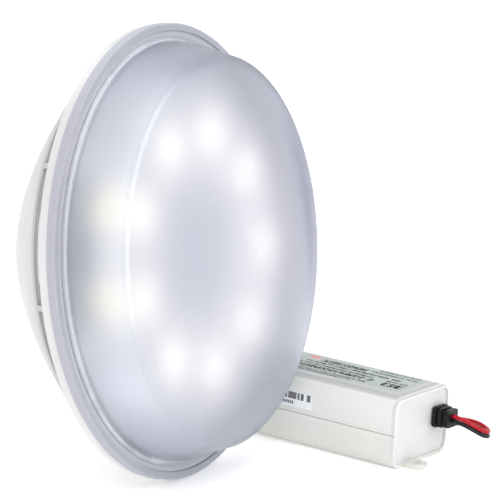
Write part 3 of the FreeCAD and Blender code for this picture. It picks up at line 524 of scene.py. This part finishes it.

# Painted light and shade: past DOME_TONE and WALL_TONE, these tones paint a paler near side, warm pools of
# light, a shaded foot, a shaded far side and a shaded crease.
DOME_TONE = (0.775, 0.775, 0.815, 1)
DOME_FAR_SHADE_TONE = (0.47, 0.48, 0.56, 1)
WALL_TONE = (0.63, 0.65, 0.70, 1)
WALL_NEAR_LIT_TONE = (0.725, 0.73, 0.752, 1)
WALL_POOL_TONE = (0.745, 0.735, 0.665, 1)
WALL_FOOT_SHADE_TONE = (0.48, 0.50, 0.55, 1)
WALL_FAR_SHADE_TONE = (0.50, 0.505, 0.575, 1)
CREASE_SHADE_TONE = (0.30, 0.32, 0.38, 1)

# The rim's grey at radii from its foot to its edge. The two dips are painted shade at the sides of its
# groove.
RIM_TONES = [(82.0, 0.52), (83.9, 0.50), (84.3, 0.46), (84.8, 0.56), (86.2, 0.55), (86.6, 0.42), (87.0, 0.48),
             (88.8, 0.47), (89.5, 0.45)]
RIM_TINT = (0.98, 0.985, 1.09)
RIM_TOP_TONE = (0.53, 0.535, 0.59, 1)


def wall_pool(look, radius, height, side):
    """Light thrown on the side wall by an emitter behind it."""
    behind = look.math("SUBTRACT", toward(look, radius, side), 1.0)
    across = look.math("EXPONENT", look.product(behind, (WALL_RADIUS / POOL_WIDTH) ** 2))
    return look.product(across, bell(look, height, POOL_HEIGHT, POOL_SPREAD))


class LensZones:
    """Values between 0 and 1 that say which part of the lens a point is on."""

    def __init__(self, look):
        x, y, self.height = look.local(LAMP)
        self.radius = radius_of(look, x, y)
        self.above_rim = look.span(self.height, WALL_FOOT - 0.3, WALL_FOOT + 0.5, 0.0, 1.0, smooth=True)
        self.on_dome = look.span(self.height, CREASE_HEIGHT - 2.0, CREASE_HEIGHT + 0.6, 0.0, 1.0, smooth=True)
        self.far_shade = look.span(along(look, FAR_SIDE), *FAR_SPAN, 0.0, 1.0, smooth=True)
        self.near = toward(look, self.radius, NEAR_SIDE)
        self.shaded_near_foot = look.product(look.span(self.near, *NEAR_FOOT_SPAN, 0.0, 1.0, smooth=True),
                                      look.span(self.height, *NEAR_FOOT_HEIGHTS, 1.0, 0.0, smooth=True))
        pools = [wall_pool(look, self.radius, self.height, side) for side in POOL_SIDES]
        self.pools = look.math("ADD", *pools)


def rim_colour(look, radius):
    """The rim's front: lavender bands with a line of painted shade at each side of the groove, plain at the
    top.
    """
    low = RIM_TONES[0][0]
    high = RIM_TONES[-1][0]
    stops = [((place - low) / (high - low), tuple(grey * tint for tint in RIM_TINT))
             for place, grey in RIM_TONES]
    banded = look.ramp(look.span(radius, low, high, 0.0, 1.0), stops)
    at_top = look.span(toward(look, radius, RIM_TOP_SIDE), *RIM_TOP_SPAN, 0.0, RIM_TOP_SHARE, smooth=True)
    return look.blend(at_top, banded, RIM_TOP_TONE)


def wall_colour(look, zones):
    """The side wall, with painted light and shade: paler on the near side, painted shade at its foot there,
    warm painted light in the pools, and painted shade toward the far side.
    """
    near = look.span(zones.near, *NEAR_SPAN, 0.0, 1.0, smooth=True)
    wall = look.blend(near, WALL_TONE, WALL_NEAR_LIT_TONE)
    wall = look.blend(look.product(zones.pools, POOL_TINT), wall, WALL_POOL_TONE)
    wall = look.blend(look.product(zones.shaded_near_foot, NEAR_FOOT_SHADE), wall, WALL_FOOT_SHADE_TONE)
    return look.blend(zones.far_shade, wall, WALL_FAR_SHADE_TONE)


def crease_shade(look, radius):
    """How dark the crease is: a soft line near the top of the lamp."""
    facing = toward(look, radius, SHADED_SIDE)
    upper = look.span(facing, *CREASE_SHADE_SPAN, 0.0, CREASE_SHADE, smooth=True)
    return look.product(upper, bell(look, radius, CREASE_SHADE_RADIUS, CREASE_SHADE_WIDTH))


def lens_colour(look, zones):
    """The rim, the side wall and the dome, with the crease between the last two."""
    # Painted shade: the dome is painted darker toward the far side.
    dome = look.blend(zones.far_shade, DOME_TONE, DOME_FAR_SHADE_TONE)
    moulding = look.blend(zones.on_dome, wall_colour(look, zones), dome)
    creased = look.blend(crease_shade(look, zones.radius), moulding, CREASE_SHADE_TONE)
    return look.blend(zones.above_rim, rim_colour(look, zones.radius), creased)


def wall_glow(look, zones):
    """Scattered light in the side wall, strongest in the pools."""
    weak_pool = wall_pool(look, zones.radius, zones.height, WEAK_POOL_SIDE)
    pools = look.math("MULTIPLY_ADD", weak_pool, WEAK_POOL, zones.pools)
    even = look.product(look.span(zones.near, *WALL_GLOW_SPAN, *WALL_GLOW, smooth=True),
                        look.math("SUBTRACT", 1.0, zones.shaded_near_foot))
    on_wall = look.product(zones.above_rim, look.span(zones.on_dome, 0.0, 1.0, 1.0, 0.0))
    return look.product(on_wall, look.math("MULTIPLY_ADD", pools, POOL_GLOW, even))


def painted_highlights(look, zones):
    """Painted highlights: light caught along the crease and along the foot of the side wall."""
    facing = toward(look, zones.radius, LIT_SIDE)
    on_crease = look.product(bell(look, zones.radius, CREASE_TOP_RADIUS, CREASE_LINE_WIDTH),
                             look.span(zones.height, *CREASE_LINE_HEIGHTS, 0.0, 1.0))
    on_foot = look.product(bell(look, zones.radius, FOOT_RADIUS, FOOT_LINE_WIDTH),
                           look.span(zones.height, *FOOT_LINE_HEIGHTS, 0.0, 1.0))
    crease_glow = look.span(facing, *CREASE_LINE_SPAN, 0.0, CREASE_LINE_GLOW, smooth=True)
    foot_glow = look.span(facing, *FOOT_LINE_SPAN, *FOOT_LINE_GLOW, smooth=True)
    return look.math("ADD", look.product(on_crease, crease_glow), look.product(on_foot, foot_glow))


def frosted_lens(name):
    """Frosted lavender-white moulding that blurs what is behind it."""
    look = Look(name)
    zones = LensZones(look)
    look.colour(lens_colour(look, zones))
    look.set("Roughness", 0.52)
    look.bump(look.noise(look.place(), 2500.0), 0.00002, 0.5)
    look.set("Transmission Weight", look.span(zones.above_rim, 0.0, 1.0, 0.10, 0.88))
    look.set("IOR", 1.14)
    # Painted light: the lens glows in the side wall's pools and along the painted highlights.
    look.set("Emission Color", look.blend(zones.pools, LAVENDER, AMBER))
    look.set("Emission Strength", look.math("ADD", wall_glow(look, zones), painted_highlights(look, zones)))
    return look


# ---------------------------------------------------------------- rear shell and dry housing

# Heights between which the bowl gives way to the band round the rim.
BAND_EDGE = (-2.6, -1.9)


def shell_white(name):
    """White moulding, with a slightly greyer bowl behind the band round the rim."""
    look = Look(name)
    on_band = look.span(look.local(LAMP)[2], *BAND_EDGE, 0.0, 1.0)
    drift = look.noise(look.place(), 25.0, 4.0)
    bowl = look.drift_ramp(drift, (0.425, 0.425, 0.42), (0.455, 0.455, 0.45))
    band = look.drift_ramp(drift, (0.58, 0.58, 0.575), (0.62, 0.62, 0.615))
    look.colour(look.blend(on_band, bowl, band))
    look.uneven_gloss(0.30, 0.38)
    look.bump(look.noise(look.place(), 900.0), 0.00003)
    return look


def housing_pale(name):
    """Pale moulding with a faint glow, which stands for stray light behind the slots."""
    look = moulded(name, (0.80, 0.80, 0.765), 0.5)
    look.set("Emission Color", (1.0, 1.0, 0.96, 1))
    look.set("Emission Strength", 0.5)
    return look


# ---------------------------------------------------------------- supply materials

# Places on the label and the sticker are along the supply, across it, or above its base, in mm.
PANEL_ALONG = (6.5, 70.0)
PANEL_ACROSS = (10.8, 37.0)
RED_MARK_ALONG = (59.5, 64.0)
RED_MARK_ACROSS = (30.8, 34.4)
MARK_SHARE = 0.92
MARK_FILL = 0.82
MARK_INK = (0.008, 0.014, 0.012, 1)
RED_INK = (0.75, 0.16, 0.12, 1)
RED_SHARE = 0.8
# Each row's middle across the supply and its height, where it starts and ends, and its marks' pitch.
LABEL_ROWS = [(30.6, 4.0, 34.0, 57.0, 2.0), (34.4, 1.5, 10.0, 30.0, 1.0), (31.0, 1.6, 9.0, 32.0, 1.0),
              (26.4, 2.2, 15.0, 62.0, 1.3), (22.9, 2.0, 26.0, 69.0, 1.2), (22.6, 1.8, 9.0, 20.0, 1.3),
              (19.0, 3.8, 24.0, 69.0, 1.8), (17.6, 5.2, 8.5, 21.0, 3.2), (14.6, 1.7, 25.0, 69.0, 1.2),
              (12.2, 1.3, 30.0, 69.0, 1.0)]

BARS_ALONG = (41.8, 66.2)
BARS_HIGH = (19.8, 22.7)
SMALL_MARKS_ALONG = (50.0, 66.0)
SMALL_MARKS_HIGH = (17.6, 18.9)
# The pitch of the marks, the share of them that is there, and the part of a pitch that each fills.
BARS = (0.52, 0.70, 0.85)
SMALL_MARKS = (0.9, 0.95, 0.66)
STICKER_INK = (0.03, 0.03, 0.035, 1)


def between(look, value, low, high, edge=0.06):
    """1 between two limits and 0 outside them."""
    rises = look.span(value, low - edge, low + edge, 0.0, 1.0)
    falls = look.span(value, high - edge, high + edge, 1.0, 0.0)
    return look.product(rises, falls)


def rectangle(look, first, first_limits, second, second_limits):
    """1 inside a rectangle and 0 outside it."""
    return look.product(between(look, first, *first_limits), between(look, second, *second_limits))


def cells(look, value, pitch, share, filled):
    """Marks of one pitch in a row, some of them left out by chance."""
    steps = look.math("DIVIDE", value, pitch)
    chance = look.add("TexWhiteNoise", noise_dimensions="1D")
    look.feed(chance.inputs["W"], look.math("FLOOR", steps))
    present = look.math("LESS_THAN", chance.outputs["Value"], share)
    return look.product(present, look.math("LESS_THAN", look.math("FRACT", steps), filled))


def label_marks(look, x, y):
    """Rows of blank marks, broken up so that they spell nothing."""
    marks = 0.0
    for middle, tall, start, end, pitch in LABEL_ROWS:
        row = rectangle(look, x, (middle - tall / 2, middle + tall / 2), y, (start, end))
        marks = look.math("MAXIMUM", look.product(row, cells(look, y, pitch, MARK_SHARE, MARK_FILL)), marks)
    broken = look.span(look.noise(look.place(), 1100.0), 0.40, 0.50, 0.12, 1.0)
    return look.product(marks, broken)


def rating_label(name):
    """Silver film with a tinted panel, rows of blank marks and a small red mark."""
    look = Look(name)
    x, y = look.local(SUPPLY)[:2]
    drift = look.noise(look.place(), 60.0, 3.0)
    film = look.drift_ramp(drift, (0.43, 0.43, 0.43), (0.49, 0.49, 0.49))
    tint = look.drift_ramp(drift, (0.34, 0.39, 0.365), (0.40, 0.45, 0.425))
    tone = look.blend(rectangle(look, y, PANEL_ALONG, x, PANEL_ACROSS), film, tint)
    marks = label_marks(look, x, y)
    tone = look.blend(marks, tone, MARK_INK)
    red = rectangle(look, x, RED_MARK_ACROSS, y, RED_MARK_ALONG)
    look.colour(look.blend(look.product(red, RED_SHARE), tone, RED_INK))
    look.set("Specular IOR Level", look.span(marks, 0.0, 1.0, 0.35, 0.0))
    look.set("Roughness", look.drift_span(drift, 0.28, 0.40))
    look.bump(drift, 0.00004)
    return look


def side_sticker(name):
    """White sticker with plain upright bars and a row of small marks under them."""
    look = Look(name)
    y, z = look.local(SUPPLY)[1:]
    bars = look.product(rectangle(look, z, BARS_HIGH, y, BARS_ALONG), cells(look, y, *BARS))
    small = look.product(rectangle(look, z, SMALL_MARKS_HIGH, y, SMALL_MARKS_ALONG),
                         cells(look, y, *SMALL_MARKS))
    paper = look.mottled((0.82, 0.83, 0.85), 0.02, 90.0)
    look.colour(look.blend(look.math("MAXIMUM", bars, small), paper, STICKER_INK))
    look.set("Roughness", 0.3)
    look.bump(look.noise(look.place(), 700.0), 0.00001)
    return look


SEAM_HEIGHT = 14.2
FINE_GROOVES = (SEAM_HEIGHT + 1.1, SEAM_HEIGHT - 2.6, SEAM_HEIGHT - 4.6)
GROOVE_WIDTH = 0.12
GROOVE_SHADE = 0.16
LONG_SIDE = (0.5, 1.5)
CASE_RISE = (0.0, 24.0)
CASE_TOP = (28.4, 29.3)
CASE_RECESS = (0.35, 2.0)
CASE_RECESS_EDGE = 0.08
CASE_LOW_SHADE_TONE = (0.63, 0.635, 0.585)
CASE_HIGH_TONE = (0.75, 0.752, 0.715)
CASE_TOP_SHADE_TONE = (0.46, 0.46, 0.46, 1)
CASE_RECESS_SHADE_TONE = (0.635, 0.632, 0.625, 1)
GROOVE_SHADE_TONE = (0.25, 0.25, 0.22, 1)


def fine_grooves(look, x, z):
    """1 along the fine grooves of the long side at local x = 0, and 0 elsewhere."""
    grooves = 0.0
    for level in FINE_GROOVES:
        grooves = look.math("MAXIMUM", bell(look, z, level, GROOVE_WIDTH), grooves)
    return look.product(grooves, look.span(x, *LONG_SIDE, 1.0, 0.0))


def supply_case(name):
    """Off-white plastic with painted shade: darker toward the base, greyer on top and in the recessed end,
    and fine grooves drawn as dark lines of painted shade on one long side.
    """
    look = Look(name)
    x, y, z = look.local(SUPPLY)
    # Painted shade: the sides are painted darker toward the base.
    rising = look.span(z, *CASE_RISE, 0.0, 1.0)
    tone = look.ramp(rising, [(0.0, CASE_LOW_SHADE_TONE), (1.0, CASE_HIGH_TONE)])
    # Painted shade: the top face is painted greyer.
    tone = look.blend(look.span(z, *CASE_TOP, 0.0, 1.0, smooth=True), tone, CASE_TOP_SHADE_TONE)
    # Painted shade: the recessed end is painted greyer.
    tone = look.blend(between(look, y, *CASE_RECESS, CASE_RECESS_EDGE), tone, CASE_RECESS_SHADE_TONE)
    # Painted shade: the fine grooves are only dark painted lines.
    grooves = look.product(fine_grooves(look, x, z), GROOVE_SHADE)
    look.colour(look.blend(grooves, tone, GROOVE_SHADE_TONE))
    look.uneven_gloss(0.38, 0.46)
    look.bump(look.noise(look.place(), 1500.0), 0.00002)
    return look


# ---------------------------------------------------------------- small pieces

BOX_FACES = [(0, 1, 3, 2), (4, 6, 7, 5), (0, 4, 5, 1), (2, 3, 7, 6), (0, 2, 6, 4), (1, 5, 7, 3)]

# The tongue stops on both sides of the outlet grommet.
TONGUES = [("seam_tongue_long", 1.6, 28.4), ("seam_tongue_short", 38.6, 40.4)]
TONGUE_FRONT = 0.61
TONGUE_BACK = 1.6
TONGUE_LOW = 14.085
TONGUE_HIGH = 14.315

BOARD_BACK = 13.0
BOARD_THICK = 1.6
WIRE_HOLE_RADIUS = 4.0
SEAL_RADIUS = WIRE_HOLE_RADIUS - 0.05
SEAL_START = BOARD_BACK + 0.2
SEAL_SIDES = 40


def seam_tongue(look):
    """The lower half's tongue, seen as the floor of the seam at the grommet's end."""
    for name, start, end in TONGUES:
        corners = [SUPPLY @ (Vector((x, y, z)) * MM) for x in (start, end)
                   for y in (TONGUE_FRONT, TONGUE_BACK) for z in (TONGUE_LOW, TONGUE_HIGH)]
        tongue = new_object(name, corners, BOX_FACES)
        tongue.data.materials.append(look.material)
        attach(tongue, "supply")


def seal_ring(height):
    """Points round the wire hole at one height, in mm along the lamp's axis."""
    return [lamp_point(SEAL_RADIUS * MM * math.cos(math.tau * i / SEAL_SIDES),
                       SEAL_RADIUS * MM * math.sin(math.tau * i / SEAL_SIDES), height * MM)
            for i in range(SEAL_SIDES)]


def wire_seal(look):
    """White sealant that fills the wire hole in the middle of the light board."""
    vertices = seal_ring(SEAL_START) + seal_ring(BOARD_BACK + BOARD_THICK)
    sides = [(i, (i + 1) % SEAL_SIDES, (i + 1) % SEAL_SIDES + SEAL_SIDES, i + SEAL_SIDES)
             for i in range(SEAL_SIDES)]
    back = tuple(range(SEAL_SIDES))[::-1]
    front = tuple(range(SEAL_SIDES, 2 * SEAL_SIDES))
    seal = new_object("wire_seal", vertices, sides + [back, front])
    seal.data.materials.append(look.material)
    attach(seal, "lamp")


# ---------------------------------------------------------------- dressing the CAD nodes

def dress(look, *names):
    """Give CAD nodes a material in place of their own."""
    for name in names:
        mesh = NODES[name].data
        mesh.materials.clear()
        mesh.materials.append(look.material)


def dress_lamp():
    """The lamp's mouldings, its seals and what is lit behind the lens."""
    dress(frosted_lens("frosted_lens"), "front_lens")
    dress(shell_white("shell_white"), "rear_shell")
    dress(moulded("seal_rubber", (0.05, 0.05, 0.055), 0.6), "lens_gasket", "housing_gasket")
    dress(housing_pale("housing_pale"), "dry_housing")
    interior = lit_interior("lit_interior")
    dress(interior, "led_board", "board_screws", "led_packages", "led_optics", "reflector_ring")
    wire_seal(interior)


def dress_electronics():
    """Parts inside the lamp and the supply."""
    dress(moulded("heat_pad", (0.45, 0.46, 0.5), 0.7), "thermal_pad")
    dress(metal("sink_aluminium", (0.78, 0.78, 0.79), 0.35), "heat_sink", "heat_spreader")
    dress(moulded("potting", (0.03, 0.03, 0.035), 0.3), "potting_resin")
    dress(circuit_board("circuit_board"), "regulator_board", "supply_circuit_board")
    dress(moulded("component_black", (0.03, 0.03, 0.032), 0.45),
          "rectifier_bridge", "switching_transistor", "input_fuse")
    dress(moulded("capacitor_sleeve", (0.03, 0.05, 0.14), 0.3),
          "smoothing_capacitor", "bulk_capacitor", "output_capacitor")
    dress(moulded("ferrite", (0.10, 0.10, 0.105), 0.55), "filter_inductor", "transformer_core")
    dress(winding("winding_tape"), "transformer_winding")


def dress_terminals():
    """The terminals behind the lamp and the forks of the leads."""
    dress(moulded("block_black", (0.035, 0.035, 0.04), 0.5), "terminal_block")
    dress(metal("brass", (0.80, 0.60, 0.28), 0.3), "terminal_posts")
    dress(metal("stainless", (0.72, 0.72, 0.73), 0.3), "red_terminal_screw", "red_terminal_washer",
          "black_terminal_screw", "black_terminal_washer")
    dress(metal("tinned", (0.75, 0.75, 0.76), 0.35), "red_fork", "black_fork")


def dress_supply():
    """The supply's case, its grommets and its labels."""
    case = supply_case("supply_case")
    dress(case, "supply_lower_case", "supply_upper_case")
    seam_tongue(case)
    dress(black_plastic("grommet_black", 0.38), "output_grommet", "input_grommet")
    dress(rating_label("rating_label"), "rating_label")
    dress(side_sticker("side_sticker"), "side_sticker")


# ---------------------------------------------------------------- leads

LEAD_DIAMETER = 1.8 * MM
ON_FLOOR = LEAD_DIAMETER / 2
GLAND_ACROSS = 33.5 * MM
GLAND_REACH = 7.2 * MM
GLAND_HEIGHT = 17.0 * MM
LEAD_STACK = 2.0 * MM
TERMINAL_OFFSET = 10.0 * MM
FORK_EXIT = -12.0 * MM
FORK_HEIGHT = -57.2 * MM
LAST_RISE = 20.0 * MM
LEAD_SIDES = 16
LINE_STEPS = 16

# Control points of the leads in mm: the shared fold as steps from the grommet, then along the supply's
# far side in its own frame, and then over the floor behind the lamp and up its back. LOW lies on the floor.
LOW = ON_FLOOR / MM
FOLD = [(0, 0, 0), (0.2, -4.8, -0.4), (0.9, -9.4, -2.0), (3.2, -13.2, -4.2), (7.4, -13.8, -5.4),
        (10.6, -10.6, -4.8), (11.6, -4.6, -3.6), (12.0, 3.6, -4.0), (12.4, 13.6, -7.4)]
RED_BY_SUPPLY = [(47.2, 19, 5.4), (49.6, 36, 1.6), (50.6, 54, LOW), (49.0, 72, LOW)]
RED_BY_LAMP = [(105, 11, LOW), (96, 30, LOW), (82, 47, LOW), (66, 57, LOW), (54, 62, 2.5), (44, 63, 9),
               (34, 61, 19), (23, 57, 30), (14, 53.5, 39)]
BLACK_BY_SUPPLY = [(46.4, 19, 3.2), (46.9, 36, LOW), (47.6, 54, LOW), (46.2, 72, LOW)]
BLACK_BY_LAMP = [(102, 9.5, LOW), (92.5, 27.5, LOW), (78, 43.5, LOW), (63, 53, LOW), (52, 57.5, 1.5),
                 (42, 60, 6), (32, 59.5, 15), (21, 57.5, 24), (9, 55.5, 32), (-3, 53, 38)]


def placed(point, places):
    """Places in mm, through one of the frames' point functions."""
    return [point(x * MM, y * MM, z * MM) for x, y, z in places]


def fold(high):
    """The tight fold in front of the grommet and the way back along the supply's far side."""
    return [supply_point(GLAND_ACROSS + x * MM, -GLAND_REACH + y * MM, high + z * MM) for x, y, z in FOLD]


def last_rise(across):
    """The straight end of a lead, up into its fork."""
    return [lamp_point(across, FORK_EXIT - LAST_RISE, FORK_HEIGHT),
            lamp_point(across, FORK_EXIT, FORK_HEIGHT)]


def red_route():
    """The red lead leaves the grommet above the black one."""
    return (fold(GLAND_HEIGHT + LEAD_STACK / 2) + placed(supply_point, RED_BY_SUPPLY)
            + placed(floor_point, RED_BY_LAMP) + last_rise(TERMINAL_OFFSET))


def black_route():
    """The black lead leaves the grommet below the red one."""
    return (fold(GLAND_HEIGHT - LEAD_STACK / 2) + placed(supply_point, BLACK_BY_SUPPLY)
            + placed(floor_point, BLACK_BY_LAMP) + last_rise(-TERMINAL_OFFSET))


def smooth_line(name, route):
    """Points along the NURBS curve that has the route as its control points."""
    curve = bpy.data.curves.new(name, "CURVE")
    curve.dimensions = "3D"
    curve.resolution_u = LINE_STEPS
    spline = curve.splines.new("NURBS")
    spline.points.add(len(route) - 1)
    for point, place in zip(spline.points, route):
        point.co = (*place, 1.0)
    spline.order_u = 3
    spline.use_endpoint_u = True
    holder = bpy.data.objects.new(name, curve)
    line = bpy.data.meshes.new_from_object(holder)
    points = [vertex.co.copy() for vertex in line.vertices]
    bpy.data.objects.remove(holder)
    return points


def tube_rings(points, radius):
    """Rings of points about a line, turned as little as possible from one to the next."""
    vertices = []
    heading = (points[1] - points[0]).normalized()
    side = heading.orthogonal().normalized()
    for i, point in enumerate(points):
        before = points[max(i - 1, 0)]
        after = points[min(i + 1, len(points) - 1)]
        heading = (after - before).normalized()
        side = (side - heading * side.dot(heading)).normalized()
        other = heading.cross(side)
        for k in range(LEAD_SIDES):
            turn = math.tau * k / LEAD_SIDES
            vertices.append(point + (side * math.cos(turn) + other * math.sin(turn)) * radius)
    return vertices


def tube_faces(rings):
    """Faces that join the rings of a tube and close its two ends."""
    faces = []
    for i in range(rings - 1):
        for k in range(LEAD_SIDES):
            here = i * LEAD_SIDES + k
            beside = i * LEAD_SIDES + (k + 1) % LEAD_SIDES
            faces.append((here, beside, beside + LEAD_SIDES, here + LEAD_SIDES))
    last = (rings - 1) * LEAD_SIDES
    faces.append(tuple(reversed(range(LEAD_SIDES))))
    faces.append(tuple(range(last, last + LEAD_SIDES)))
    return faces


def tube(name, points, radius):
    """A round tube about a line, smooth except at its ends."""
    piece = new_object(name, tube_rings(points, radius), tube_faces(len(points)))
    for polygon in piece.data.polygons:
        polygon.use_smooth = len(polygon.vertices) == 4
    return piece


def insulation(name, tone):
    """Soft vinyl insulation with a slight sheen and fine grain."""
    look = moulded(name, tone, 0.30, grain=1800.0, depth=0.00002, spread=0.12, patch=90.0)
    look.set("Specular IOR Level", 0.35)
    return look


def lead(colour, route, look):
    """One lead from the supply's grommet to its fork, as a fixed tube along its route."""
    points = smooth_line(colour + "_route", route)
    piece = tube(colour + "_lead", points, LEAD_DIAMETER / 2)
    piece.data.materials.append(look.material)
    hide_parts(colour + "_lead_supply_end", colour + "_lead_lamp_end")
    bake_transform(piece)


def leads():
    """The red and the black output lead."""
    lead("red", red_route(), insulation("red_insulation", (0.40, 0.004, 0.014)))
    lead("black", black_route(), insulation("black_insulation", (0.006, 0.006, 0.007)))


# ---------------------------------------------------------------- build

camera()
studio()
floor()
dress_lamp()
dress_electronics()
dress_terminals()
dress_supply()
leads()
